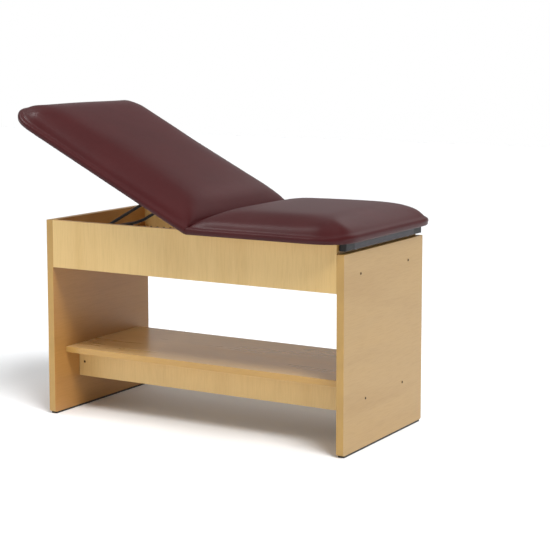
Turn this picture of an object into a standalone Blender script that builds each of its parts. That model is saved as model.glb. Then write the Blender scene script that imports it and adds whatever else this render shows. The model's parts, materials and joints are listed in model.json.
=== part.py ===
"""An exam table: laminate end panels, aprons and a shelf, with a fixed seat pad and a raised backrest.

Metres, +Z up. The origin is on the floor, under the middle of the head panel. +X runs to the foot end.
"""

import math

import bmesh
import bpy
from mathutils import Matrix, Vector

# Driving dimensions
BASE_LENGTH = 1.256
BASE_WIDTH = 0.610
BASE_TOP = 0.737
PANEL = 0.028
FOOT_PANEL_TOP = 0.693
GLIDE = 0.007
APRON = 0.020
APRON_HEIGHT = 0.177
SHELF = 0.022
SHELF_UNDERSIDE = 0.226
SHELF_DEPTH = 0.472
STRETCHER = 0.022
STRETCHER_HEIGHT = 0.104
STRETCHER_FACE = 0.155
BOARD = 0.015
PAD_WIDTH = 0.762
PAD_UNDERSIDE = 0.731
SEAT_THICKNESS = 0.083
BACKREST_THICKNESS = 0.087
PAD_WRAP = 0.012
PAD_CORNER = 0.115
BOARD_END = 0.012
SEAT_OVERHANG = 0.030
BACKREST_LENGTH = 0.882
REST_ANGLE = math.radians(26.3)
STEEPEST_ANGLE = math.radians(55)
HINGE_X = 0.655
HINGE_ABOVE_BASE = 0.0027
BAIL_ARM = 0.2841
BAIL_DROP = 0.018
BAIL_REACH = 0.3383
BAIL_RADIUS = 0.006
BAIL_FOOT_HEIGHT = 0.689
BAIL_HALF_WIDTH = 0.120
GAP = 0.0003
SCREW_SIDES = 16

# Places that follow from the dimensions
HEAD_FACE = -PANEL / 2
HEAD_INNER = PANEL / 2
FOOT_FACE = BASE_LENGTH - PANEL / 2
FOOT_INNER = FOOT_FACE - PANEL
HALF_WIDTH = BASE_WIDTH / 2
APRON_INNER = HALF_WIDTH - APRON
APRON_BOTTOM = BASE_TOP - APRON_HEIGHT
BOARD_UNDERSIDE = BASE_TOP + GAP
HINGE_Z = BASE_TOP + HINGE_ABOVE_BASE
BOARD_BOTTOM_LOCAL = BOARD_UNDERSIDE - HINGE_Z
STRETCHER_MIDDLE = STRETCHER_FACE - STRETCHER / 2
STRETCHER_BOTTOM = SHELF_UNDERSIDE - STRETCHER_HEIGHT
PANEL_SCREW_LOW = 0.177
PANEL_SCREW_HIGH = 0.616
PANEL_SCREW_SPREAD = 0.184
RACK_START = HEAD_INNER + 0.006
RACK_END = 0.312
RACK_Y = 0.105
RACK_TOP = BAIL_FOOT_HEIGHT - BAIL_RADIUS - 0.0025
RACK_RAIL_TOP = 0.655
RACK_RAIL_WIDTH = 0.024
RACK_RAIL_X = 0.284
RACK_SCREWS = (0.0280, RACK_RAIL_X)
BOARD_CORNER = PAD_CORNER - PAD_WRAP


def clear_scene():
    for old in list(bpy.data.objects):
        bpy.data.objects.remove(old, do_unlink=True)


def new_collection(name):
    collection = bpy.data.collections.new(name)
    bpy.context.scene.collection.children.link(collection)
    return collection


def new_material(name, colour, roughness, metallic=0.0):
    material = bpy.data.materials.new(name)
    material.use_nodes = True
    shader = material.node_tree.nodes["Principled BSDF"]
    shader.inputs["Base Color"].default_value = (*colour, 1)
    shader.inputs["Roughness"].default_value = roughness
    shader.inputs["Metallic"].default_value = metallic
    return material


clear_scene()
PARTS = new_collection("exam_table")
CUTTERS = new_collection("cutters")
MAPLE = new_material("maple_laminate", (0.62, 0.43, 0.23), 0.45)
PLYWOOD = new_material("plywood", (0.50, 0.34, 0.19), 0.6)
VINYL = new_material("burgundy_vinyl", (0.085, 0.016, 0.019), 0.4)
BLACK_STEEL = new_material("black_steel", (0.02, 0.02, 0.022), 0.4, 0.3)
GREY_STEEL = new_material("grey_steel", (0.10, 0.095, 0.105), 0.4, 0.4)
ZINC = new_material("zinc_steel", (0.55, 0.55, 0.56), 0.35, 1.0)
BLACK_PLASTIC = new_material("black_plastic", (0.015, 0.015, 0.015), 0.5)
WHITE_NYLON = new_material("white_nylon", (0.75, 0.74, 0.70), 0.5)


def add_object(name, data, material=None, parent=None, collection=PARTS):
    part = bpy.data.objects.new(name, data)
    collection.objects.link(part)
    if material:
        data.materials.append(material)
    part.parent = parent
    return part


def add_empty(name, location, turn, parent=None):
    empty = bpy.data.objects.new(name, None)
    PARTS.objects.link(empty)
    empty.location = location
    empty.rotation_euler = (0, turn, 0)
    empty.parent = parent
    return empty


def bevel(part, width, segments=2, angle=math.radians(40)):
    modifier = part.modifiers.new("edges", "BEVEL")
    modifier.width = width
    modifier.segments = segments
    modifier.limit_method = "ANGLE"
    modifier.angle_limit = angle
    modifier.use_clamp_overlap = True


def box_mesh(name, low, high):
    """A box between two corners, with the mesh's origin where the corners are measured from."""
    shape = bmesh.new()
    bmesh.ops.create_cube(shape, size=1)
    low, high = Vector(low), Vector(high)
    bmesh.ops.scale(shape, vec=high - low, verts=shape.verts)
    bmesh.ops.translate(shape, vec=(low + high) / 2, verts=shape.verts)
    mesh = bpy.data.meshes.new(name)
    shape.to_mesh(mesh)
    shape.free()
    return mesh


def box(name, low, high, material, parent=None, edge=0.001, segments=2):
    part = add_object(name, box_mesh(name, low, high), material, parent)
    if edge:
        bevel(part, edge, segments)
    return part


def helper(part):
    part.hide_render = True
    part.display_type = "WIRE"
    return part


def box_helper(name, low, high, parent=None):
    return helper(add_object(name, box_mesh(name, low, high), parent=parent, collection=CUTTERS))


def drill(name, start, axis, length, radius, parent=None):
    """A round cutter that runs from start along an axis."""
    shape = bmesh.new()
    direction = Vector(axis).normalized()
    turn = direction.to_track_quat("Z", "Y").to_matrix().to_4x4()
    place = Matrix.Translation(Vector(start) + direction * length / 2) @ turn
    bmesh.ops.create_cone(
        shape,
        cap_ends=True,
        segments=SCREW_SIDES,
        radius1=radius,
        radius2=radius,
        depth=length,
        matrix=place,
    )
    mesh = bpy.data.meshes.new(name)
    shape.to_mesh(mesh)
    shape.free()
    return helper(add_object(name, mesh, parent=parent, collection=CUTTERS))


def boolean(part, other, operation="DIFFERENCE"):
    modifier = part.modifiers.new(operation.lower(), "BOOLEAN")
    modifier.operation = operation
    modifier.solver = "EXACT"
    modifier.object = other


def smooth(part):
    part.data.shade_smooth()
    part.data.set_sharp_from_angle(angle=math.radians(35))


def turned(name, profile, location, axis, material, parent=None, collection=PARTS):
    """A solid turned about an axis. The profile's points are (radius, height), down the outer side."""
    mesh = bpy.data.meshes.new(name)
    points = [(radius, 0, height) for radius, height in profile]
    edges = [(i, i + 1) for i in range(len(points) - 1)]
    if profile[0][0] > 0:
        edges.append((len(points) - 1, 0))
    mesh.from_pydata(points, edges, [])
    part = add_object(name, mesh, material, parent, collection)
    part.location = location
    part.rotation_mode = "QUATERNION"
    part.rotation_quaternion = Vector(axis).to_track_quat("Z", "Y")
    modifier = part.modifiers.new("turn", "SCREW")
    modifier.steps = modifier.render_steps = SCREW_SIDES
    modifier.use_merge_vertices = True
    modifier.merge_threshold = 0.00001
    modifier.use_smooth_shade = False
    return part


def rounded_path(corners, radius, steps=5):
    """The corner points with each inner corner turned into an arc of straight steps."""
    path = [Vector(corners[0])]
    for before, corner, after in zip(corners, corners[1:], corners[2:]):
        corner = Vector(corner)
        back = (Vector(before) - corner).normalized()
        ahead = (Vector(after) - corner).normalized()
        half = back.angle(ahead) / 2
        reach = radius / math.tan(half)
        centre = corner + (back + ahead).normalized() * radius / math.sin(half)
        first = corner + back * reach - centre
        last = corner + ahead * reach - centre
        sweep = first.angle(last)
        for step in range(steps + 1):
            share = step / steps
            point = first * math.sin((1 - share) * sweep) + last * math.sin(share * sweep)
            path.append(centre + point / math.sin(sweep))
    path.append(Vector(corners[-1]))
    return path


def rod(name, path, radius, material, parent=None):
    curve = bpy.data.curves.new(name, "CURVE")
    curve.dimensions = "3D"
    curve.bevel_depth = radius
    curve.bevel_resolution = 2
    curve.use_fill_caps = True
    spline = curve.splines.new("POLY")
    spline.points.add(len(path) - 1)
    for place, point in zip(spline.points, path):
        place.co = (*point, 1)
    spline.use_smooth = True
    return add_object(name, curve, material, parent)


def flat_outline(name, outlines, thickness, material, parent=None):
    """A plate in the XZ plane, centred on y = 0. The first outline is its edge and the others are holes."""
    curve = bpy.data.curves.new(name, "CURVE")
    curve.dimensions = "2D"
    curve.fill_mode = "BOTH"
    curve.extrude = thickness / 2
    for outline in outlines:
        spline = curve.splines.new("POLY")
        spline.points.add(len(outline) - 1)
        for place, (x, z) in zip(spline.points, outline):
            place.co = (x, z, 0, 1)
        spline.use_cyclic_u = True
    part = add_object(name, curve, material, parent)
    part.rotation_euler = (math.pi / 2, 0, 0)
    return part


def as_mesh(part):
    """The curve's solid as a mesh object that Booleans can use."""
    bpy.context.view_layer.update()
    graph = bpy.context.evaluated_depsgraph_get()
    mesh = bpy.data.meshes.new_from_object(part.evaluated_get(graph))
    shape = bmesh.new()
    shape.from_mesh(mesh)
    bmesh.ops.remove_doubles(shape, verts=shape.verts, dist=0.00001)
    bmesh.ops.transform(shape, matrix=part.rotation_euler.to_matrix().to_4x4(), verts=shape.verts)
    bmesh.ops.translate(shape, vec=part.location, verts=shape.verts)
    bmesh.ops.recalc_face_normals(shape, faces=shape.faces)
    shape.to_mesh(mesh)
    shape.free()
    name, parent = part.name, part.parent
    bpy.data.objects.remove(part, do_unlink=True)
    made = bpy.data.objects.new(name, mesh)
    PARTS.objects.link(made)
    made.parent = parent
    return made


def rounded_corners(mesh, radius, segments, wanted):
    """Rounds the edges of a box mesh that the test picks, by bmesh's own bevel."""
    shape = bmesh.new()
    shape.from_mesh(mesh)
    edges = [edge for edge in shape.edges if wanted(edge)]
    bmesh.ops.bevel(
        shape, geom=edges, offset=radius, segments=segments, profile=0.5, affect="EDGES"
    )
    shape.to_mesh(mesh)
    shape.free()


def rounded_end_mesh(name, low, high, end, radius, segments=9):
    """A box mesh whose two upright edges at the x of one end are rounded."""
    mesh = box_mesh(name, low, high)
    near = 0.0005

    def upright_at_end(edge):
        first, second = (vert.co for vert in edge.verts)
        return abs(first.x - end) < near and abs(first.z - second.z) > near

    rounded_corners(mesh, radius, segments, upright_at_end)
    return mesh


# ---- Base -------------------------------------------------------------------------------


def end_panel(name, low_x, high_x, top):
    """A laminate panel with its two lower corners rounded."""
    low = (low_x, -HALF_WIDTH, GLIDE)
    high = (high_x, HALF_WIDTH, top)
    mesh = box_mesh(name, low, high)
    foot = GLIDE + 0.001
    rounded_corners(
        mesh,
        0.009,
        4,
        lambda edge: all(vert.co.z < foot for vert in edge.verts)
        and abs(edge.verts[0].co.x - edge.verts[1].co.x) > PANEL / 2,
    )
    panel = add_object(name, mesh, MAPLE)
    bevel(panel, 0.0009)
    return panel


def glide(name, low_x, high_x):
    inset = 0.0015
    reach = HALF_WIDTH - 0.011
    low = (low_x + inset, -reach, 0)
    high = (high_x - inset, reach, GLIDE - GAP)
    return box(name, low, high, BLACK_PLASTIC, edge=0.0008)


def apron(name, side):
    """The board between the panels along one long side. Side is -1 in front and 1 at the rear."""
    inner, outer = sorted((side * APRON_INNER, side * HALF_WIDTH))
    low = (HEAD_INNER + GAP, inner, APRON_BOTTOM)
    high = (FOOT_INNER - GAP, outer, BASE_TOP)
    return box(name, low, high, MAPLE, edge=0.0009)


def stretcher(name, side):
    """An upright rail under the shelf, with a blind hole near each end for its fitting."""
    inner, outer = sorted((side * (STRETCHER_FACE - STRETCHER), side * STRETCHER_FACE))
    low = (HEAD_INNER + GAP, inner, STRETCHER_BOTTOM)
    high = (FOOT_INNER - GAP, outer, SHELF_UNDERSIDE - GAP)
    return box(name, low, high, MAPLE, edge=0.0009)


def cam_fitting(name, rail, x, side):
    """A round fitting sunk in the outer face of a stretcher."""
    depth, radius, sunk = 0.0125, 0.0050, 0.0012
    start = (x, side * (STRETCHER_FACE + 0.002), PANEL_SCREW_LOW)
    boolean(rail, drill(name + "_hole", start, (0, -side, 0), depth + 0.002, radius + GAP))
    top = depth - sunk - GAP
    profile = [
        (0, top - 0.0022),
        (0.0021, top - 0.0022),
        (0.0021, top),
        (radius - 0.0005, top),
        (radius, top - 0.0005),
        (radius, 0),
        (0, 0),
    ]
    place = (x, side * (STRETCHER_FACE - depth + GAP), PANEL_SCREW_LOW)
    return turned(name, profile, place, (0, side, 0), ZINC)


def panel_screw(name, panel, behind, face, inward, y, z):
    """A low domed screw through a panel and into the rail behind it."""
    reach, shank, head, height = 0.046, 0.0030, 0.0046, 0.0018
    bore = name + "_bore"
    start = (face - inward * 0.01, y, z)
    cutter = drill(bore, start, (inward, 0, 0), reach + 0.011, shank + GAP)
    boolean(panel, cutter)
    boolean(behind, cutter)
    profile = [
        (0, height - 0.0012),
        (0.0019, height - 0.0012),
        (0.0019, height),
        (head * 0.62, height),
        (head * 0.88, height * 0.72),
        (head, height * 0.3),
        (head, GAP),
        (shank, GAP),
        (shank, -reach),
        (0, -reach),
    ]
    return turned(name, profile, (face, y, z), (-inward, 0, 0), ZINC)


def build_base():
    head = end_panel("head_panel", HEAD_FACE, HEAD_INNER, BASE_TOP)
    foot = end_panel("foot_panel", FOOT_INNER, FOOT_FACE, FOOT_PANEL_TOP)
    glide("head_glide", HEAD_FACE, HEAD_INNER)
    glide("foot_glide", FOOT_INNER, FOOT_FACE)
    apron("front_apron", -1)
    apron("rear_apron", 1)
    shelf_low = (HEAD_INNER + GAP, -SHELF_DEPTH / 2, SHELF_UNDERSIDE)
    shelf_high = (FOOT_INNER - GAP, SHELF_DEPTH / 2, SHELF_UNDERSIDE + SHELF)
    box("shelf", shelf_low, shelf_high, MAPLE, edge=0.0009)

    cleat = 0.020
    reach = APRON_INNER - GAP
    head_cleat_low = (HEAD_INNER + GAP, -reach, APRON_BOTTOM + 0.010)
    head_cleat_high = (HEAD_INNER + GAP + cleat, reach, RACK_RAIL_TOP)
    head_cleat = box("head_cleat", head_cleat_low, head_cleat_high, MAPLE)
    foot_cleat_low = (FOOT_INNER - GAP - cleat, -reach, APRON_BOTTOM + 0.010)
    foot_cleat_high = (FOOT_INNER - GAP, reach, 0.704)
    foot_cleat = box("foot_cleat", foot_cleat_low, foot_cleat_high, MAPLE)

    for row, side in (("front", -1), ("rear", 1)):
        rail = stretcher(row + "_stretcher", side)
        cam_inset = 0.025
        cam_fitting(row + "_head_cam", rail, HEAD_INNER + cam_inset, side)
        cam_fitting(row + "_foot_cam", rail, FOOT_INNER - cam_inset, side)
        low_y = side * STRETCHER_MIDDLE
        high_y = side * PANEL_SCREW_SPREAD
        panel_screw(row + "_head_lower_screw", head, rail, HEAD_FACE, 1, low_y, PANEL_SCREW_LOW)
        panel_screw(
            row + "_head_upper_screw", head, head_cleat, HEAD_FACE, 1, high_y, PANEL_SCREW_HIGH
        )
        panel_screw(row + "_foot_lower_screw", foot, rail, FOOT_FACE, -1, low_y, PANEL_SCREW_LOW)
        panel_screw(
            row + "_foot_upper_screw", foot, foot_cleat, FOOT_FACE, -1, high_y, PANEL_SCREW_HIGH
        )
    return head_cleat


# ---- Ratchet racks ----------------------------------------------------------------------

def rack_outline():
    """The toothed upper edge of a rack, one upright-backed tooth for each notch."""
    low = RACK_RAIL_TOP + GAP
    pitch, depth, tip = 0.030, 0.011, 0.005
    points = [(RACK_START, low)]
    count = int((RACK_END - RACK_START) / pitch)
    for step in range(count):
        left = RACK_START + step * pitch
        points.append((left, RACK_TOP))
        points.append((left + tip, RACK_TOP))
        points.append((left + tip + 0.004, RACK_TOP - depth))
        points.append((left + tip + 0.013, RACK_TOP - depth))
    points.append((RACK_START + count * pitch, RACK_TOP))
    points.append((RACK_END, RACK_TOP))
    points.append((RACK_END, low))
    return points


def rack(name, side, rails):
    web, flange, flange_width = 0.005, 0.003, 0.024
    plate = flat_outline(name, [rack_outline()], web, BLACK_STEEL)
    plate.location.y = side * RACK_Y
    plate = as_mesh(plate)
    inner, outer = sorted((side * (RACK_Y - flange_width), side * (RACK_Y + web * 0.4)))
    low = (RACK_START + 0.002, inner, RACK_RAIL_TOP + GAP)
    high = (RACK_END - 0.002, outer, RACK_RAIL_TOP + GAP + flange)
    boolean(plate, box_helper(name + "_flange", low, high), "UNION")
    for end, rail, x in zip(("head", "hinge"), rails, RACK_SCREWS):
        screw = name + "_" + end + "_screw"
        y = side * (RACK_Y - 0.015)
        top = RACK_RAIL_TOP + GAP + flange
        cutter = drill(screw + "_bore", (x, y, top + 0.004), (0, 0, -1), 0.031, 0.0021 + GAP)
        boolean(plate, cutter)
        boolean(rail, cutter)
        profile = [
            (0, 0.0026),
            (0.0020, 0.0025),
            (0.0036, 0.0018),
            (0.0042, 0.0006),
            (0.0042, GAP),
            (0.0021, GAP),
            (0.0021, -0.024),
            (0, -0.026),
        ]
        turned(screw, profile, (x, y, top), (0, 0, 1), ZINC)


def build_racks(head_cleat):
    """Two toothed racks that lie on the head cleat and on a rail of their own."""
    reach = APRON_INNER - GAP
    low = (RACK_RAIL_X - RACK_RAIL_WIDTH / 2, -reach, RACK_RAIL_TOP - 0.060)
    high = (RACK_RAIL_X + RACK_RAIL_WIDTH / 2, reach, RACK_RAIL_TOP)
    rails = (head_cleat, box("rack_rail", low, high, MAPLE))
    rack("front_rack", -1, rails)
    rack("rear_rack", 1, rails)


# ---- Pads -------------------------------------------------------------------------------


def pad_solid(name, low_x, high_x, thickness, outer_end, parent, lift):
    """A padded top: a crowned block that wraps down round its board, open where the board sits.

    The outer end is low_x or high_x; its corners are rounded in plan. Heights are measured from lift.
    """
    half = PAD_WIDTH / 2
    bottom = PAD_UNDERSIDE - lift
    top = bottom + thickness
    low, high = (low_x, -half, bottom), (high_x, half, top)
    mesh = rounded_end_mesh(name, low, high, outer_end, PAD_CORNER)
    near = 0.0005
    shoulder_width, shoulder_depth = 0.056, 0.050

    def top_rim(edge):
        return all(abs(vert.co.z - top) < near for vert in edge.verts)

    shape = bmesh.new()
    shape.from_mesh(mesh)
    rim = [edge for edge in shape.edges if top_rim(edge)]
    bmesh.ops.bevel(
        shape, geom=rim, offset=shoulder_width, segments=4, profile=0.5, affect="EDGES", clamp_overlap=True
    )
    # The bevel is as deep as it is wide, so the shoulder is pressed flatter.
    for vert in shape.verts:
        depth = top - vert.co.z
        if near < depth < shoulder_width + near:
            vert.co.z = top - depth * shoulder_depth / shoulder_width
    shape.to_mesh(mesh)
    shape.free()
    pad = add_object(name, mesh, VINYL, parent)
    return pad


def board_pocket(pad, low_x, high_x, outer_end, parent, lift):
    """Opens the underside of a pad for its board, and leaves the wrapped rim."""
    half = PAD_WIDTH / 2 - PAD_WRAP + GAP
    low = (low_x, -half, PAD_UNDERSIDE - lift - 0.01)
    high = (high_x, half, BOARD_UNDERSIDE + BOARD + GAP - lift)
    name = pad.name + "_pocket"
    mesh = rounded_end_mesh(name, low, high, outer_end, BOARD_CORNER + GAP)
    boolean(pad, helper(add_object(name, mesh, parent=parent, collection=CUTTERS)))


def padded_board(name, low, high, outer_end, parent=None):
    mesh = rounded_end_mesh(name, low, high, outer_end, BOARD_CORNER)
    board = add_object(name, mesh, PLYWOOD, parent)
    bevel(board, 0.0008)
    return board


def hinge_bevel(pad, side, parent, centre_x, centre_z):
    """Slants a pad's end at the hinge by half of the steepest angle, so that the pads never meet."""
    slant = STEEPEST_ANGLE / 2
    clear = 0.0012
    height = 0.2
    width = 0.4
    back = -side * 0.3
    outline = [
        (side * clear, -height),
        (side * clear, 0),
        (side * (clear + height * math.tan(slant)), height),
        (back, height),
        (back, -height),
    ]
    name = pad.name + "_slant"
    cutter = flat_outline(name, [outline], 2 * width, None, parent)
    cutter.location = (centre_x, 0, centre_z)
    cutter = as_mesh(cutter)
    PARTS.objects.unlink(cutter)
    CUTTERS.objects.link(cutter)
    boolean(pad, helper(cutter))


def build_seat():
    end = FOOT_FACE + SEAT_OVERHANG
    pad = pad_solid("seat_pad", HINGE_X, end, SEAT_THICKNESS, end, None, 0)
    board_end = end - PAD_WRAP
    board_pocket(pad, HINGE_X - 0.05, board_end + GAP, board_end + GAP, None, 0)
    hinge_bevel(pad, 1, None, HINGE_X, HINGE_Z)
    half = PAD_WIDTH / 2 - PAD_WRAP
    low = (HINGE_X + BOARD_END, -half, BOARD_UNDERSIDE)
    high = (board_end, half, BOARD_UNDERSIDE + BOARD)
    board = padded_board("seat_board", low, high, board_end)

    reach = APRON_INNER - GAP
    rail_low = (HINGE_X + 0.052, -reach, BASE_TOP - 0.070)
    rail_high = (HINGE_X + 0.076, reach, BASE_TOP)
    box("hinge_rail", rail_low, rail_high, MAPLE)
    return board


def build_foot_rail(board):
    """The painted steel box rail under the foot end of the seat, with a plug in each end."""
    depth, height, wall, half_length = 0.025, 0.0340, 0.002, 0.288
    top = BASE_TOP
    centre_x = FOOT_FACE - depth / 2
    centre_z = top - height / 2

    def ring(half_x, half_z, radius):
        points = []
        for corner in range(4):
            across = 1 if corner in (0, 3) else -1
            up = 1 if corner in (0, 1) else -1
            for step in range(4):
                angle = math.radians(corner * 90 + step * 30)
                x = across * (half_x - radius) + radius * math.cos(angle)
                z = up * (half_z - radius) + radius * math.sin(angle)
                points.append((x, z))
        return points

    outer = ring(depth / 2, height / 2, 0.003)
    inner = ring(depth / 2 - wall, height / 2 - wall, 0.0012)
    tube = flat_outline("foot_rail", [outer, inner], 2 * half_length, GREY_STEEL)
    tube.location = (centre_x, 0, centre_z)
    tube = as_mesh(tube)
    for row, side in (("front", -1), ("rear", 1)):
        name = row + "_rail_plug"
        flange, insert = 0.004, 0.018
        start = side * (half_length + GAP)
        low_y, high_y = sorted((start, start + side * flange))
        low = (centre_x - depth / 2, low_y, centre_z - height / 2)
        high = (centre_x + depth / 2, high_y, centre_z + height / 2)
        plug = box(name, low, high, BLACK_PLASTIC, edge=0)
        fit = wall + 2 * GAP
        low_y, high_y = sorted((start + side * flange / 2, start - side * insert))
        low = (centre_x - depth / 2 + fit, low_y, centre_z - height / 2 + fit)
        high = (centre_x + depth / 2 - fit, high_y, centre_z + height / 2 - fit)
        boolean(plug, box_helper(name + "_insert", low, high), "UNION")
        bevel(plug, 0.0007, 1)

        bolt = row + "_rail_bolt"
        y = side * 0.200
        under = top - height
        cutter = drill(bolt + "_bore", (centre_x, y, under - 0.005), (0, 0, 1), 0.051, 0.0025 + GAP)
        boolean(tube, cutter)
        boolean(board, cutter)
        profile = [
            (0, 0.0035),
            (0.0040, 0.0035),
            (0.0048, 0.0027),
            (0.0048, GAP),
            (0.0025, GAP),
            (0.0025, -0.044),
            (0, -0.044),
        ]
        turned(bolt, profile, (centre_x, y, under), (0, 0, -1), BLACK_STEEL)


# ---- Backrest ---------------------------------------------------------------------------


def build_backrest(axis):
    """The raised half. Its pieces are placed flat, measured from the hinge axis, and the empty tilts them."""
    end = -BACKREST_LENGTH
    pad = pad_solid("backrest_pad", end, 0, BACKREST_THICKNESS, end, axis, HINGE_Z)
    board_end = end + PAD_WRAP
    board_pocket(pad, board_end - GAP, 0.05, board_end - GAP, axis, HINGE_Z)
    hinge_bevel(pad, -1, axis, 0, 0)
    half = PAD_WIDTH / 2 - PAD_WRAP
    low = (board_end, -half, BOARD_BOTTOM_LOCAL)
    high = (-BOARD_END, half, BOARD_BOTTOM_LOCAL + BOARD)
    padded_board("backrest_board", low, high, board_end, axis)


def ring_profile(inner, outer, length):
    return [(outer, length), (outer, 0), (inner, 0), (inner, length)]


def hinge(name, y, axis):
    """A butt hinge under the boards: a leaf on each, with their knuckles on one pin."""
    radius, bore, pin_radius = 0.0050, 0.0023, 0.0020
    half_width, knuckle, leaf = 0.035, 0.0127, 0.040
    plate_low, plate_high = -0.0048, BOARD_BOTTOM_LOCAL - GAP
    clear = 0.0009

    def leaf_of(label, side, parent, centre):
        x, z = centre
        low_x, high_x = sorted((x, x + side * leaf))
        low = (low_x, y - half_width, z + plate_low)
        high = (high_x, y + half_width, z + plate_high)
        part = add_object(label, box_mesh(label, low, high), BLACK_STEEL, parent)
        if side > 0:
            spans = [(-half_width, -knuckle - GAP), (knuckle + GAP, half_width)]
            gaps = [(-knuckle - GAP, knuckle + GAP)]
        else:
            spans = [(-knuckle, knuckle)]
            gaps = [(-half_width - 0.001, -knuckle), (knuckle, half_width + 0.001)]
        for number, (start, end) in enumerate(gaps):
            cut_x = sorted((x - side * 0.001, x + side * (radius + clear)))
            low = (cut_x[0], y + start, z - 0.010)
            high = (cut_x[1], y + end, z + 0.010)
            boolean(part, box_helper(f"{label}_gap_{number}", low, high, parent))
        for number, (start, end) in enumerate(spans):
            knuckle_ring = turned(
                f"{label}_knuckle_{number}",
                ring_profile(bore, radius, end - start),
                (x, y + start, z),
                (0, 1, 0),
                None,
                parent,
                CUTTERS,
            )
            boolean(part, helper(knuckle_ring), "UNION")
        return part

    leaf_of(name + "_seat_leaf", 1, None, (HINGE_X, HINGE_Z))
    leaf_of(name + "_backrest_leaf", -1, axis, (0, 0))
    length = 2 * half_width + 0.002
    profile = [(0, length), (pin_radius, length), (pin_radius, 0), (0, 0)]
    turned(name + "_pin", profile, (HINGE_X, y - length / 2, HINGE_Z), (0, 1, 0), ZINC)


BRACKET_EAR = 0.004
BUSH_OUTER = 0.0080
EAR_Y = 0.1015


def bail_bracket(name, side, axis):
    """The bracket that carries one end of the bail: a plate under the board and an ear with a bush."""
    plate_top = BOARD_BOTTOM_LOCAL - GAP
    plate_low = (-BAIL_ARM - 0.026, min(side * 0.074, side * 0.1035), plate_top - 0.003)
    plate_high = (-BAIL_ARM + 0.026, max(side * 0.074, side * 0.1035), plate_top)
    bracket = add_object(name, box_mesh(name, plate_low, plate_high), BLACK_STEEL, axis)
    low_y, high_y = side * EAR_Y - BRACKET_EAR / 2, side * EAR_Y + BRACKET_EAR / 2
    ear_half = 0.0125
    low = (-BAIL_ARM - ear_half, low_y, -BAIL_DROP)
    high = (-BAIL_ARM + ear_half, high_y, plate_top - 0.001)
    boolean(bracket, box_helper(name + "_ear", low, high, axis), "UNION")
    round_end = drill(
        name + "_ear_end", (-BAIL_ARM, low_y, -BAIL_DROP), (0, 1, 0), BRACKET_EAR, ear_half, axis
    )
    boolean(bracket, round_end, "UNION")
    bore = drill(
        name + "_bore", (-BAIL_ARM, low_y - 0.01, -BAIL_DROP), (0, 1, 0), 0.024, BUSH_OUTER + GAP, axis
    )
    boolean(bracket, bore)
    flange, bore_radius = 0.0102, BAIL_RADIUS + 0.0004
    profile = [
        (BUSH_OUTER, BRACKET_EAR + 0.0004),
        (BUSH_OUTER, 0),
        (flange, 0),
        (flange, -0.0012),
        (bore_radius, -0.0012),
        (bore_radius, BRACKET_EAR + 0.0004),
    ]
    start = side * (EAR_Y - BRACKET_EAR / 2 - GAP)
    turned(name + "_bush", profile, (-BAIL_ARM, start, -BAIL_DROP), (0, side, 0), WHITE_NYLON, axis)


def build_bail(axis):
    """The bent steel bail that props the backrest, with its foot bar over the racks."""
    pivot_x = HINGE_X - BAIL_ARM * math.cos(REST_ANGLE) - BAIL_DROP * math.sin(REST_ANGLE)
    pivot_z = HINGE_Z + BAIL_ARM * math.sin(REST_ANGLE) - BAIL_DROP * math.cos(REST_ANGLE)
    fall = math.asin((pivot_z - BAIL_FOOT_HEIGHT) / BAIL_REACH)
    pivot = add_empty("bail_axis", (pivot_x, 0, pivot_z), -fall)
    bend_x, bend_drop = -(BAIL_REACH - 0.038), -0.0045
    half = []
    for corner in ((0, -0.090, 0), (0, -BAIL_HALF_WIDTH, 0), (bend_x, -BAIL_HALF_WIDTH, bend_drop)):
        half.append(corner)
    half.append((-BAIL_REACH, -BAIL_HALF_WIDTH, 0))
    other = [(x, -y, z) for x, y, z in reversed(half)]
    rod("bail", rounded_path(half + other, 0.013), BAIL_RADIUS, BLACK_STEEL, pivot)
    for row, side in (("front", -1), ("rear", 1)):
        bail_bracket(row + "_bail_bracket", side, axis)
        collar = ring_profile(BAIL_RADIUS + GAP, 0.0095, 0.0045)
        start = side * 0.0970
        turned(row + "_bail_collar", collar, (0, start, 0), (0, -side, 0), ZINC, pivot)


def main():
    head_cleat = build_base()
    build_racks(head_cleat)
    seat_board = build_seat()
    build_foot_rail(seat_board)
    hinge_axis = add_empty("backrest_axis", (HINGE_X, 0, HINGE_Z), REST_ANGLE)
    build_backrest(hinge_axis)
    for name, y in (("front_hinge", -0.230), ("middle_hinge", 0.0), ("rear_hinge", 0.230)):
        hinge(name, y, hinge_axis)
    build_bail(hinge_axis)
    for part in PARTS.objects:
        if part.type == "MESH":
            smooth(part)


main()
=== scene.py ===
import json
import math

import bmesh
import bpy
from mathutils import Matrix, Vector


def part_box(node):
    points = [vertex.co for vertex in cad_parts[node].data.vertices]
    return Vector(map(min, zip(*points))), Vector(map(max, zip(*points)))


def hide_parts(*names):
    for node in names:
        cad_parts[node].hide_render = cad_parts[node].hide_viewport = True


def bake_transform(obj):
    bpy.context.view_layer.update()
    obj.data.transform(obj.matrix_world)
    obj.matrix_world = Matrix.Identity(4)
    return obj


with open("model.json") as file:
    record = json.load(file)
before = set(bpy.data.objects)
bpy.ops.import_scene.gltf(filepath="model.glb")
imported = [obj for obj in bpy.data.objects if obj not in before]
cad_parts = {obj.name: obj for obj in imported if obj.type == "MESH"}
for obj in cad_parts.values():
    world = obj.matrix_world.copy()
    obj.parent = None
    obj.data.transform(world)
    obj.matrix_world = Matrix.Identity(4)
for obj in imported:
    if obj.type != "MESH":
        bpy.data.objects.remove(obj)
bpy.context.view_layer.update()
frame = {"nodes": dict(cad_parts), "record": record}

NODES = frame["nodes"]

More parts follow.
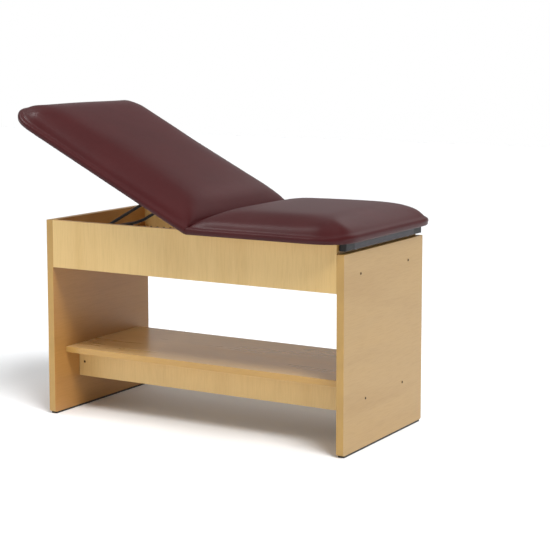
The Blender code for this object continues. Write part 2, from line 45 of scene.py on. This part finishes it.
# The pads take their places from the CAD's hinge and seat pad.
SEAT_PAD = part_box("seat_pad")
HINGE = next(joint for joint in frame["record"]["behaviour"]["joints"] if joint["name"] == "backrest_hinge")
HINGE_X, _, HINGE_Z = HINGE["pos_m"]
REST_ANGLE = math.radians(26.3)

# Sizes of the pads, in metres. A crown is the height of a pad's middle over its underside.
PAD_UNDERSIDE = SEAT_PAD[0].z
HALF_WIDTH = SEAT_PAD[1].y
SEAT_LENGTH = SEAT_PAD[1].x - HINGE_X
BACKREST_LENGTH = 0.882
SEAT_CROWN = 0.082
BACKREST_CROWN = 0.086
CORNER_RADIUS = 0.115
LIP = 0.020

# The backrest's outer end is bowed out a little. The bow fades over BOW_REACH in the cover, and inside
# the lip's own wrap below, so that the board's pocket keeps its shape.
BACKREST_BOW = 0.020
BOW_REACH = 0.45
LIP_WRAP = 0.0105

# How the rings ease round a corner: in corner radii, then the width over which the end's profile turns
# into the sides', and the power that rounds the ridge between them.
CORNER_EASE = 2.4
END_SHARE_REACH = 0.10
SOFTNESS = 5

# The mesh's rows along a pad: even steps, finer ones at the hinge, and the rows that close its end. Points
# closer than WELD are joined.
STATION_STEP = 0.022
HINGE_STEPS = [0.0, 0.0025, 0.006, 0.011, 0.018, 0.027, 0.039, 0.054]
HINGE_ROWS = 5
WELD = 0.00002

# The end at the hinge leans back to the plane that halves the rest angle. Above CREASE_FLOOR the cover
# drops into the crease, and its upper edge is rounded.
CREASE = math.tan(REST_ANGLE / 2)
LEAN_REACH = 0.16
HINGE_CLEARANCE = 0.0004
CREASE_FLOOR = 0.028
CREASE_DROP = 0.048
CREASE_FADE = 0.048
HINGE_ROUNDING = 0.013
HINGE_ROUNDING_FLOOR = 0.03

# Room over the board's end, where the cover is squeezed as the backrest rises.
HINGE_LIFT = 0.0018
HINGE_LIFT_FLOOR = 0.012
HINGE_LIFT_REACH = 0.06

# The cloth simulation: its last frame, the furthest that a point may move, and where the cover becomes
# loose, as a start and a reach, over its height, its distance from the hinge and that from its side.
CLOTH_FRAMES = 20
CLOTH_CAP = 0.007
LOOSE_HEIGHT = (0.030, 0.030)
LOOSE_LENGTH = (0.02, 0.06)
LOOSE_SIDE = (0.012, 0.04)

# Rings across a pad, from its widest line inwards: inset, height at the long sides and height at the
# outer end, where the lip is taller. Heights are over the pad's underside, for a crown of CROWN.
CROWN = 0.091
PROFILE = [
    (0.0000, 0.0110, 0.0155), (0.0010, 0.0158, 0.0215), (0.0035, 0.0196, 0.0262), (0.0075, 0.0220, 0.0296),
    (0.0120, 0.0234, 0.0324), (0.0165, 0.0252, 0.0356), (0.0205, 0.0296, 0.0398), (0.0270, 0.0400, 0.0478),
    (0.0360, 0.0530, 0.0575), (0.0480, 0.0645, 0.0668), (0.0620, 0.0728, 0.0738), (0.0780, 0.0785, 0.0790),
    (0.0980, 0.0827, 0.0829), (0.1260, 0.0860, 0.0860), (0.1700, 0.0885, 0.0885), (0.2250, 0.0901, 0.0901),
    (0.2950, 0.0908, 0.0908), (0.3810, 0.0910, 0.0910),
]
# Under the pad: from the same widest line round the lip, up the wall beside the board and flat over it.
UNDER_PROFILE = [
    (0.0010, 0.0052), (0.0035, 0.0015), (0.0060, 0.0003), (0.0092, 0.0000),
    (0.0108, 0.0005), (0.0114, 0.0020), (0.0115, 0.0110), (0.0115, 0.0206), (0.0120, 0.0215),
    (0.0200, 0.0216), (0.0400, 0.0216), (0.0700, 0.0216), (0.1100, 0.0216), (0.1700, 0.0216),
    (0.2250, 0.0216), (0.2950, 0.0216), (0.3810, 0.0216),
]


def rounded_ring(inset, along):
    """Where a point lies on a ring round a corner: how far in from the end and from the side.

    along runs from the middle of the corner, positive towards the side's own straight part.
    """
    radius = max(CORNER_RADIUS - inset, 0.0)
    reach = CORNER_EASE * radius
    distance = abs(along)
    if radius <= 0 or distance >= reach:
        straight, across = distance, 0.0
    else:
        arc = radius * math.pi / 4
        path = distance * (arc + reach - radius) / reach
        if path >= arc:
            straight, across = path - arc + radius, 0.0
        else:
            turn = math.pi / 4 - path / radius
            straight = radius * (1 - math.sin(turn))
            across = radius * (1 - math.cos(turn))
    if along >= 0:
        return inset + straight, inset + across
    return inset + across, inset + straight


def softer_of(first, second):
    """A distance a little under the smaller of two, with no ridge where they are equal."""
    if min(first, second) <= 0:
        return 0.0
    return (first**-SOFTNESS + second**-SOFTNESS) ** (-1 / SOFTNESS)


def rise(value, start, reach):
    """0 up to start, then evenly up to 1 over reach."""
    return min(max((value - start) / reach, 0), 1)


def read_profile(points, inset):
    """The height at an inset, on straight lines between a profile's points."""
    for (near, low), (far, high) in zip(points, points[1:]):
        if inset <= far:
            return low + (high - low) * (inset - near) / (far - near)
    return points[-1][1]


def length_stations(length, insets):
    """Distances from the outer end: the profile's own rings, then even steps, finer again at the hinge."""
    stations = list(insets)
    start, stop = stations[-1], length - HINGE_STEPS[-1]
    count = max(1, round((stop - start) / STATION_STEP))
    stations += [start + (stop - start) * step / count for step in range(1, count + 1)]
    stations += [length - step for step in reversed(HINGE_STEPS[:-1])]
    return stations


def pad_sheet(shape, length, rings, bow, bow_reach):
    """One sheet of a pad, as rows of points. Local x runs from the hinge out, and z from the underside up.

    The outer end is bowed out by up to bow, which fades over bow_reach.
    """
    insets = [inset for inset, _, _ in rings]
    profile = [(inset, height) for inset, height, _ in rings]
    end_profile = [(inset, height) for inset, _, height in rings]
    stations = length_stations(length, insets)
    sides = [(inset, -1) for inset in insets] + [(inset, 1) for inset in reversed(insets[:-1])]
    rows = []
    for from_end in stations:
        row = []
        for from_side, side in sides:
            inset = min(from_end, from_side)
            end_at, side_at = from_end, from_side
            if inset < CORNER_RADIUS:
                end_at, side_at = rounded_ring(inset, from_end - from_side)
            soft = softer_of(from_end, from_side)
            share = min(max(0.5 + (from_side - from_end) / END_SHARE_REACH, 0), 1)
            share = share * share * (3 - 2 * share)
            height = (1 - share) * read_profile(profile, soft) + share * read_profile(end_profile, soft)
            across = 1 - side_at / HALF_WIDTH
            bowed = bow * (1 - across**2) * max(1 - end_at / bow_reach, 0)
            row.append(shape.verts.new((length - end_at + bowed, side * (HALF_WIDTH - side_at), height)))
        rows.append(row)
    return rows


def bridge(shape, first, second, flip=False):
    """Faces between two rows of points."""
    for index in range(len(first) - 1):
        corners = (first[index], first[index + 1], second[index + 1], second[index])
        shape.faces.new(corners[::-1] if flip else corners)


def upper_rings(crown):
    """The profile's rings with everything above the lip stretched to reach a crown's height."""
    stretch = (crown - LIP) / (CROWN - LIP)

    def raised(height):
        return height if height < LIP else LIP + (height - LIP) * stretch

    return [(inset, raised(side), raised(end)) for inset, side, end in PROFILE]


def pad_mesh(name, length, crown, bow):
    """A pad's closed cover: an upper sheet, a lower one with the board's pocket, and the end at the hinge."""
    shape = bmesh.new()
    upper = pad_sheet(shape, length, upper_rings(crown), bow, BOW_REACH)
    under = [(inset, height, height) for inset, height in UNDER_PROFILE]
    lower = pad_sheet(shape, length, PROFILE[:1] + under, bow, LIP_WRAP)
    # The two sheets share their widest line, where they are joined.
    for top_row, low_row in zip(upper, lower):
        low_row[0].co = top_row[0].co
        low_row[-1].co = top_row[-1].co
    for top, low in zip(upper[0], lower[0]):
        low.co = top.co
    for first, second in zip(upper, upper[1:]):
        bridge(shape, first, second)
    for first, second in zip(lower, lower[1:]):
        bridge(shape, first, second, flip=True)
    # The end at the hinge is closed by rows between the two sheets.
    above = upper[-1]
    for level in range(1, HINGE_ROWS):
        share = level / HINGE_ROWS
        row = [shape.verts.new(top.co.lerp(low.co, share)) for top, low in zip(upper[-1], lower[-1])]
        bridge(shape, above, row)
        above = row
    bridge(shape, above, lower[-1])
    bmesh.ops.remove_doubles(shape, verts=shape.verts, dist=WELD)
    bmesh.ops.recalc_face_normals(shape, faces=shape.faces)
    mesh = bpy.data.meshes.new(name)
    shape.to_mesh(mesh)
    shape.free()
    return mesh


def inflate(pad):
    """Blows the cover up a little by cloth simulation. The lip, the underside and the hinge end stay."""
    held = pad.vertex_groups.new(name="held")
    for vert in pad.data.vertices:
        position = vert.co
        loose = rise(position.z, *LOOSE_HEIGHT)
        loose *= rise(position.x, *LOOSE_LENGTH)
        loose *= rise(HALF_WIDTH - abs(position.y), *LOOSE_SIDE)
        held.add([vert.index], 1 - loose, "REPLACE")
    before = [vert.co.copy() for vert in pad.data.vertices]
    modifier = pad.modifiers.new("cover", "CLOTH")
    cloth = modifier.settings
    cloth.use_pressure = True
    cloth.uniform_pressure_force = 4
    cloth.effector_weights.gravity = 0
    cloth.vertex_group_mass = "held"
    cloth.tension_stiffness = 20
    cloth.compression_stiffness = 20
    cloth.bending_stiffness = 2
    cloth.quality = 6
    modifier.point_cache.frame_start = 1
    modifier.point_cache.frame_end = CLOTH_FRAMES
    scene = bpy.context.scene
    for step in range(1, CLOTH_FRAMES + 1):
        scene.frame_set(step)
    graph = bpy.context.evaluated_depsgraph_get()
    blown = pad.evaluated_get(graph).to_mesh()
    after = [vert.co.copy() for vert in blown.vertices]
    pad.evaluated_get(graph).to_mesh_clear()
    pad.modifiers.remove(modifier)
    scene.frame_set(1)
    for vert, start, end in zip(pad.data.vertices, before, after):
        move = end - start
        if move.length > CLOTH_CAP:
            move *= CLOTH_CAP / move.length
        vert.co = start + move
    pad.vertex_groups.remove(held)


def close_crease(pad):
    """Shapes the end at the hinge: room over the board, a rounded upper edge, the crease and the lean."""
    for vert in pad.data.vertices:
        position = vert.co
        if position.z > HINGE_LIFT_FLOOR:
            position.z += HINGE_LIFT * max(1 - position.x / HINGE_LIFT_REACH, 0)
        above = position.z + PAD_UNDERSIDE - HINGE_Z
        if position.x < HINGE_ROUNDING and position.z > HINGE_ROUNDING_FLOOR:
            depth = HINGE_ROUNDING - max(position.x, 0)
            position.z -= HINGE_ROUNDING - math.sqrt(HINGE_ROUNDING**2 - depth**2)
        share = max(position.z - CREASE_FLOOR, 0) / (CROWN - CREASE_FLOOR)
        position.z -= CREASE_DROP * share * math.exp(-position.x / CREASE_FADE)
        lean = max(above, 0) * CREASE + HINGE_CLEARANCE
        position.x += lean * max(1 - position.x / LEAN_REACH, 0)


def finish_pad(pad, node, place):
    """Puts a pad in its place, subdivides it, shades it smooth and hides the CAD node that it stands for."""
    pad.data.transform(place)
    pad.data.update()
    rounder = pad.modifiers.new("rounder", "SUBSURF")
    rounder.levels = rounder.render_levels = 1
    bpy.context.view_layer.update()
    graph = bpy.context.evaluated_depsgraph_get()
    final = bpy.data.meshes.new_from_object(pad.evaluated_get(graph))
    pad.modifiers.clear()
    pad.data = final
    for face in pad.data.polygons:
        face.use_smooth = True
    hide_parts(node)
    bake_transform(pad)


def make_pad(name, length, crown, bow, node, place, material):
    """A pad's cover in its place, for the CAD node that it stands for."""
    pad = bpy.data.objects.new(name, pad_mesh(name, length, crown, bow))
    bpy.context.scene.collection.objects.link(pad)
    pad.data.materials.append(material)
    inflate(pad)
    close_crease(pad)
    finish_pad(pad, node, place)
    return pad


# Materials

# The sockets of a Mix node that mixes colours.
MIX_FACTOR, MIX_A, MIX_B = 0, 6, 7
MIX_RESULT = 2

# How fine the wood's grain and its broad figure are, across it and along it.
GRAIN_ACROSS, GRAIN_ALONG = 330.0, 14.0
FIGURE_ACROSS, FIGURE_ALONG = 11.0, 1.4

# The part of the cross rail's half length, as a share of its length, that stays grey. Past it both ends are
# painted near black: the black end plugs, and painted shade from under the pad's corners.
RAIL_GREY_SHARE = 0.398


class Paint:
    """A short way to write a material's nodes."""

    def __init__(self, name):
        self.material = bpy.data.materials.new(name)
        self.material.use_nodes = True
        self.tree = self.material.node_tree
        self.shader = self.tree.nodes["Principled BSDF"]
        self.place = self.tree.nodes.new("ShaderNodeTexCoord")

    def link(self, source, target):
        self.tree.links.new(source, target)

    def node(self, kind, **settings):
        made = self.tree.nodes.new(kind)
        for key, value in settings.items():
            setattr(made, key, value)
        return made

    def stretched(self, scale):
        mapping = self.node("ShaderNodeMapping")
        mapping.inputs["Scale"].default_value = scale
        self.link(self.place.outputs["Object"], mapping.inputs["Vector"])
        return mapping.outputs["Vector"]

    def noise(self, scale, detail=4, stretch=(1, 1, 1), distortion=0.0):
        made = self.node("ShaderNodeTexNoise")
        made.inputs["Scale"].default_value = scale
        made.inputs["Detail"].default_value = detail
        made.inputs["Distortion"].default_value = distortion
        self.link(self.stretched(stretch), made.inputs["Vector"])
        return made.outputs["Fac"]

    def ramp(self, value, *stops):
        made = self.node("ShaderNodeValToRGB")
        elements = made.color_ramp.elements
        while len(elements) < len(stops):
            elements.new(0.5)
        for element, (position, colour) in zip(elements, stops):
            element.position = position
            element.color = (*colour, 1)
        self.link(value, made.inputs["Fac"])
        return made.outputs["Color"]

    def range(self, value, low, high, start=0.0, stop=1.0):
        made = self.node("ShaderNodeMapRange")
        made.inputs["From Min"].default_value = start
        made.inputs["From Max"].default_value = stop
        made.inputs["To Min"].default_value = low
        made.inputs["To Max"].default_value = high
        self.link(value, made.inputs["Value"])
        return made.outputs["Result"]

    def mix(self, share, first, second, blend="MIX"):
        made = self.node("ShaderNodeMix", data_type="RGBA", blend_type=blend)
        for value, index in ((share, MIX_FACTOR), (first, MIX_A), (second, MIX_B)):
            if isinstance(value, (int, float)):
                made.inputs[index].default_value = value
            elif isinstance(value, tuple):
                made.inputs[index].default_value = (*value, 1)
            else:
                self.link(value, made.inputs[index])
        return made.outputs[MIX_RESULT]

    def bump(self, height, strength, distance, under=None):
        made = self.node("ShaderNodeBump")
        made.inputs["Strength"].default_value = strength
        made.inputs["Distance"].default_value = distance
        self.link(height, made.inputs["Height"])
        if under:
            self.link(under, made.inputs["Normal"])
        return made.outputs["Normal"]

    def finish(self, colour, roughness, normal=None, **values):
        self.link(colour, self.shader.inputs["Base Color"])
        self.link(roughness, self.shader.inputs["Roughness"])
        if normal:
            self.link(normal, self.shader.inputs["Normal"])
        for key, value in values.items():
            self.shader.inputs[key.replace("_", " ")].default_value = value
        return self.material


def maple(name, grain_axis, face_axis, face=(0.62, 0.42, 0.215), band=(0.55, 0.335, 0.115), gloss=0.0):
    """Maple laminate, with its grain along one axis and plainer, more golden bands on the narrow edges."""
    paint = Paint(name)
    fine = [GRAIN_ACROSS] * 3
    fine[grain_axis] = GRAIN_ALONG
    broad = [FIGURE_ACROSS] * 3
    broad[grain_axis] = FIGURE_ALONG
    broad_noise = paint.noise(1.0, 5, broad, 0.7)
    fine_noise = paint.noise(1.0, 3, fine)
    light = tuple(min(value * 1.04, 1) for value in face)
    dark = tuple(value * factor for value, factor in zip(face, (0.93, 0.90, 0.84)))
    figure = paint.ramp(broad_noise, (0.30, dark), (0.50, face), (0.72, light))
    streak = paint.ramp(fine_noise, (0.40, (0.90, 0.88, 0.83)), (0.52, (1, 1, 1)))
    colour = paint.mix(0.55, figure, streak, "MULTIPLY")
    split = paint.node("ShaderNodeSeparateXYZ")
    paint.link(paint.place.outputs["Normal"], split.inputs["Vector"])
    flat = paint.node("ShaderNodeMath", operation="ABSOLUTE")
    paint.link(split.outputs[face_axis], flat.inputs[0])
    on_face = paint.range(flat.outputs["Value"], 0, 1, 0.55, 0.85)
    band_light = tuple(min(value * 1.12, 1) for value in band)
    band_colour = paint.ramp(broad_noise, (0.3, band), (0.7, band_light))
    colour = paint.mix(on_face, band_colour, colour)
    roughness = paint.range(broad_noise, 0.36 - gloss, 0.50 - gloss)
    normal = paint.bump(fine_noise, 0.12, 0.0004)
    return paint.finish(colour, roughness, normal)


def vinyl():
    """Burgundy vinyl with a fine leather grain and a faint unevenness from the foam below."""
    paint = Paint("burgundy_vinyl_grain")
    cells = paint.node("ShaderNodeTexVoronoi", feature="DISTANCE_TO_EDGE")
    cells.inputs["Scale"].default_value = 620
    paint.link(paint.place.outputs["Object"], cells.inputs["Vector"])
    pores = paint.noise(900, 3)
    cloud = paint.noise(7, 3)
    grain = paint.range(cells.outputs["Distance"], 0, 1, 0, 0.22)
    colour = paint.ramp(cloud, (0.3, (0.049, 0.0062, 0.0070)), (0.7, (0.057, 0.0078, 0.0086)))
    # The grain's crevices are painted up to 14% darker: painted shade.
    shade = paint.range(grain, 0.86, 1.0)
    crevice_shade_colour = paint.node("ShaderNodeCombineColor")
    for channel in range(3):
        paint.link(shade, crevice_shade_colour.inputs[channel])
    colour = paint.mix(1.0, colour, crevice_shade_colour.outputs["Color"], "MULTIPLY")
    roughness = paint.range(pores, 0.34, 0.46)
    foam = paint.bump(paint.noise(26, 2), 0.25, 0.0012)
    normal = paint.bump(grain, 0.30, 0.00012, foam)
    normal = paint.bump(pores, 0.15, 0.0001, normal)
    return paint.finish(colour, roughness, normal, Specular_IOR_Level=0.23)


def plywood():
    """Birch plywood with its figure along the boards."""
    paint = Paint("birch_plywood")
    figure = paint.noise(1.0, 5, (2.2, 30, 30), 0.8)
    fine = paint.noise(1.0, 3, (9, 420, 420))
    stops = (0.3, (0.40, 0.26, 0.135)), (0.52, (0.52, 0.36, 0.20)), (0.72, (0.60, 0.44, 0.27))
    streak = paint.ramp(fine, (0.35, (0.8, 0.76, 0.7)), (0.6, (1, 1, 1)))
    colour = paint.mix(0.5, paint.ramp(figure, *stops), streak, "MULTIPLY")
    return paint.finish(colour, paint.range(figure, 0.52, 0.70), paint.bump(fine, 0.3, 0.0005))


def coated_steel(name, dark, light, roughness, metallic):
    """Powder-coated steel: a fine orange peel and slightly rubbed high spots."""
    paint = Paint(name)
    patches = paint.noise(38, 4)
    peel = paint.noise(420, 2)
    colour = paint.ramp(patches, (0.35, dark), (0.70, light))
    rough = paint.range(patches, roughness - 0.07, roughness + 0.09)
    normal = paint.bump(peel, 0.22, 0.0003)
    return paint.finish(colour, rough, normal, Metallic=metallic, Specular_IOR_Level=0.3)


def steel_with_black_ends_and_shade():
    """Grey coated steel, near black at both ends of its length: the black end plugs, and painted shade from
    under the pad's corners.
    """
    paint = Paint("grey_rail_black_ends")
    patches = paint.noise(38, 4)
    grey = paint.ramp(patches, (0.35, (0.036, 0.032, 0.039)), (0.70, (0.056, 0.050, 0.060)))
    split = paint.node("ShaderNodeSeparateXYZ")
    paint.link(paint.place.outputs["Generated"], split.inputs["Vector"])
    middle = paint.node("ShaderNodeMath", operation="SUBTRACT")
    paint.link(split.outputs["Y"], middle.inputs[0])
    middle.inputs[1].default_value = 0.5
    far = paint.node("ShaderNodeMath", operation="ABSOLUTE")
    paint.link(middle.outputs["Value"], far.inputs[0])
    end_plug_and_shade = paint.range(far.outputs["Value"], 0, 1, RAIL_GREY_SHARE, RAIL_GREY_SHARE + 0.002)
    # The ends are painted near black: the black end plugs, and painted shade from under the pad's corners.
    colour = paint.mix(end_plug_and_shade, grey, (0.006, 0.006, 0.007))
    rough = paint.range(patches, 0.30, 0.44)
    return paint.finish(colour, rough, paint.bump(paint.noise(420, 2), 0.2, 0.0003), Specular_IOR_Level=0.3)


def zinc():
    """Bright zinc-plated steel with faint drawn lines."""
    paint = Paint("zinc_plated_steel")
    patches = paint.noise(60, 4)
    fine = paint.noise(1.0, 3, (900, 60, 900))
    colour = paint.ramp(patches, (0.3, (0.44, 0.44, 0.43)), (0.7, (0.62, 0.61, 0.58)))
    rough = paint.range(patches, 0.26, 0.42)
    return paint.finish(colour, rough, paint.bump(fine, 0.15, 0.0001), Metallic=1.0)


def moulded(name, dark, light, roughness):
    """Moulded plastic with a fine texture."""
    paint = Paint(name)
    patches = paint.noise(24, 3)
    texture = paint.noise(850, 2)
    colour = paint.ramp(patches, (0.3, dark), (0.7, light))
    rough = paint.range(patches, roughness - 0.06, roughness + 0.08)
    return paint.finish(colour, rough, paint.bump(texture, 0.25, 0.0002), Specular_IOR_Level=0.3)


VINYL = vinyl()
# The head panel is the foot panel's maple painted darker and more orange: painted shade from under the
# backrest, with the warm light bounced inside the well.
HEAD_MAPLE_PAINTED_SHADE = maple("maple_head_panel", 1, 0, face=(0.415, 0.205, 0.056), band=(0.430, 0.256, 0.074))
# One maple laminate in copies of different brightness: the apron and the shelf are painted lighter and the
# foot panel darker, to even out how the light falls on each. This is painted light and shade.
FOOT_MAPLE = maple("maple_foot_panel", 1, 0, face=(0.415, 0.268, 0.113), band=(0.430, 0.256, 0.074))
APRON_MAPLE = maple("maple_apron", 2, 1, face=(0.68, 0.465, 0.190), band=(0.50, 0.290, 0.082))
SHELF_MAPLE = maple("maple_shelf", 0, 2, face=(0.70, 0.460, 0.205), band=(0.50, 0.290, 0.084), gloss=0.14)
RAIL_MAPLE = maple("maple_rail", 1, 0)
PLYWOOD = plywood()
BLACK = coated_steel("black_coated_steel", (0.004, 0.004, 0.005), (0.011, 0.011, 0.012), 0.46, 0.0)
GREY = steel_with_black_ends_and_shade()
BRONZE = coated_steel("bronzed_cam", (0.045, 0.026, 0.014), (0.085, 0.052, 0.028), 0.42, 0.6)
ZINC = zinc()
PLASTIC = moulded("black_moulded_plastic", (0.009, 0.009, 0.009), (0.020, 0.020, 0.020), 0.48)
NYLON = moulded("white_nylon", (0.62, 0.61, 0.56), (0.72, 0.71, 0.66), 0.45)

# The first word that is in a node's name gives its material.
BY_NAME = [
    ("hinge_rail", RAIL_MAPLE), ("rack_rail", RAIL_MAPLE), ("cleat", RAIL_MAPLE), ("foot_rail", GREY),
    ("head_panel", HEAD_MAPLE_PAINTED_SHADE), ("foot_panel", FOOT_MAPLE), ("apron", APRON_MAPLE), ("shelf", SHELF_MAPLE),
    ("stretcher", APRON_MAPLE), ("board", PLYWOOD), ("glide", PLASTIC), ("plug", PLASTIC), ("bush", NYLON),
    ("cam", BRONZE), ("upper_screw", BRONZE), ("lower_screw", BRONZE), ("screw", ZINC), ("bolt", ZINC),
    ("hinge", ZINC), ("rack", BLACK), ("bracket", BLACK), ("bail", BLACK),
]
for name, node in NODES.items():
    if name.endswith("_pad"):
        continue
    material = next(found for word, found in BY_NAME if word in name)
    for index in range(max(len(node.material_slots), 1)):
        if node.material_slots:
            node.material_slots[index].material = material
        else:
            node.data.materials.append(material)

# Both pads are made with x from the hinge out. The backrest's is turned round and tilted about the hinge.
SEAT_PLACE = Matrix.Translation((HINGE_X, 0, PAD_UNDERSIDE))
BACK_PLACE = (
    Matrix.Translation((HINGE_X, 0, HINGE_Z))
    @ Matrix.Rotation(REST_ANGLE, 4, "Y")
    @ Matrix.Translation((0, 0, PAD_UNDERSIDE - HINGE_Z))
    @ Matrix.Rotation(math.pi, 4, "Z")
)
make_pad("seat_cushion", SEAT_LENGTH, SEAT_CROWN, 0.0, "seat_pad", SEAT_PLACE, VINYL)
make_pad("backrest_cushion", BACKREST_LENGTH, BACKREST_CROWN, BACKREST_BOW, "backrest_pad", BACK_PLACE, VINYL)


# Floor, light and camera


def floor():
    """A wide pale floor."""
    shape = bmesh.new()
    bmesh.ops.create_grid(shape, x_segments=4, y_segments=4, size=14)
    mesh = bpy.data.meshes.new("floor")
    shape.to_mesh(mesh)
    shape.free()
    sheet = bpy.data.objects.new("floor", mesh)
    bpy.context.scene.collection.objects.link(sheet)
    paint = Paint("pale_floor")
    colour = paint.ramp(paint.noise(0.8, 2), (0.3, (0.935, 0.955, 0.975)), (0.7, (0.950, 0.968, 0.985)))
    sheet.data.materials.append(paint.finish(colour, paint.range(paint.noise(3, 2), 0.75, 0.85)))


def aim(lamp, direction):
    """Turns a light to shine along a direction."""
    lamp.rotation_euler = Vector(direction).to_track_quat("-Z", "Y").to_euler()


def area_light(name, location, target, size, power):
    """A rectangular light that shines at a target."""
    data = bpy.data.lights.new(name, "AREA")
    data.shape = "RECTANGLE"
    data.size, data.size_y = size
    data.energy = power
    lamp = bpy.data.objects.new(name, data)
    bpy.context.scene.collection.objects.link(lamp)
    lamp.location = location
    aim(lamp, Vector(target) - Vector(location))


def key_light():
    """A broad sun from above, on the camera's side, which leaves no highlight of its own."""
    data = bpy.data.lights.new("key", "SUN")
    data.energy = 2.95
    data.angle = math.radians(26)
    lamp = bpy.data.objects.new("key", data)
    bpy.context.scene.collection.objects.link(lamp)
    lamp.visible_glossy = False
    aim(lamp, (-0.62, 0.30, -1.0))


def backdrop():
    """A world that is white to the camera. It lights the object less, and more from low down than above."""
    world = bpy.data.worlds.new("studio")
    world.use_nodes = True
    nodes, links = world.node_tree.nodes, world.node_tree.links
    seen = nodes.new("ShaderNodeBackground")
    seen.inputs["Color"].default_value = (1, 1, 1, 1)
    soft = nodes["Background"]
    direction = nodes.new("ShaderNodeTexCoord")
    split = nodes.new("ShaderNodeSeparateXYZ")
    links.new(direction.outputs["Generated"], split.inputs["Vector"])
    fall = nodes.new("ShaderNodeMapRange")
    for socket, value in (("From Min", 0.12), ("From Max", 0.50), ("To Min", 0.60), ("To Max", 0.36)):
        fall.inputs[socket].default_value = value
    links.new(split.outputs["Z"], fall.inputs["Value"])
    links.new(fall.outputs["Result"], soft.inputs["Strength"])
    soft.inputs["Color"].default_value = (1, 1, 1, 1)
    path = nodes.new("ShaderNodeLightPath")
    either = nodes.new("ShaderNodeMixShader")
    links.new(path.outputs["Is Camera Ray"], either.inputs[0])
    links.new(soft.outputs[0], either.inputs[1])
    links.new(seen.outputs[0], either.inputs[2])
    links.new(either.outputs[0], nodes["World Output"].inputs["Surface"])
    bpy.context.scene.world = world


def add_camera():
    """The camera, at the photograph's viewing angle."""
    data = bpy.data.cameras.new("camera")
    data.sensor_width = 36
    data.lens = 100.4
    data.shift_y = -0.109
    data.clip_end = 60
    camera = bpy.data.objects.new("camera", data)
    bpy.context.scene.collection.objects.link(camera)
    camera.location = (3.609, -4.755, 1.411)
    camera.rotation_euler = (math.radians(90 - 6.61), math.radians(0.03), math.radians(30.61))
    bpy.context.scene.camera = camera


floor()
area_light("overhead", (1.0, -0.2, 4.2), (0.6, 0, 0.6), (3.0, 2.2), 12)
area_light("left_top", (-1.5, -0.4, 4.1), (0.5, 0, 0.8), (0.9, 0.9), 34)
area_light("rear", (0.9, 3.4, 2.9), (0.5, 0, 0.9), (2.4, 1.2), 7)
area_light("front_left", (-2.4, -4.6, 2.8), (0.4, 0, 0.6), (2.2, 2.0), 20)
key_light()
backdrop()
bpy.context.scene.view_settings.view_transform = "Standard"
add_camera()
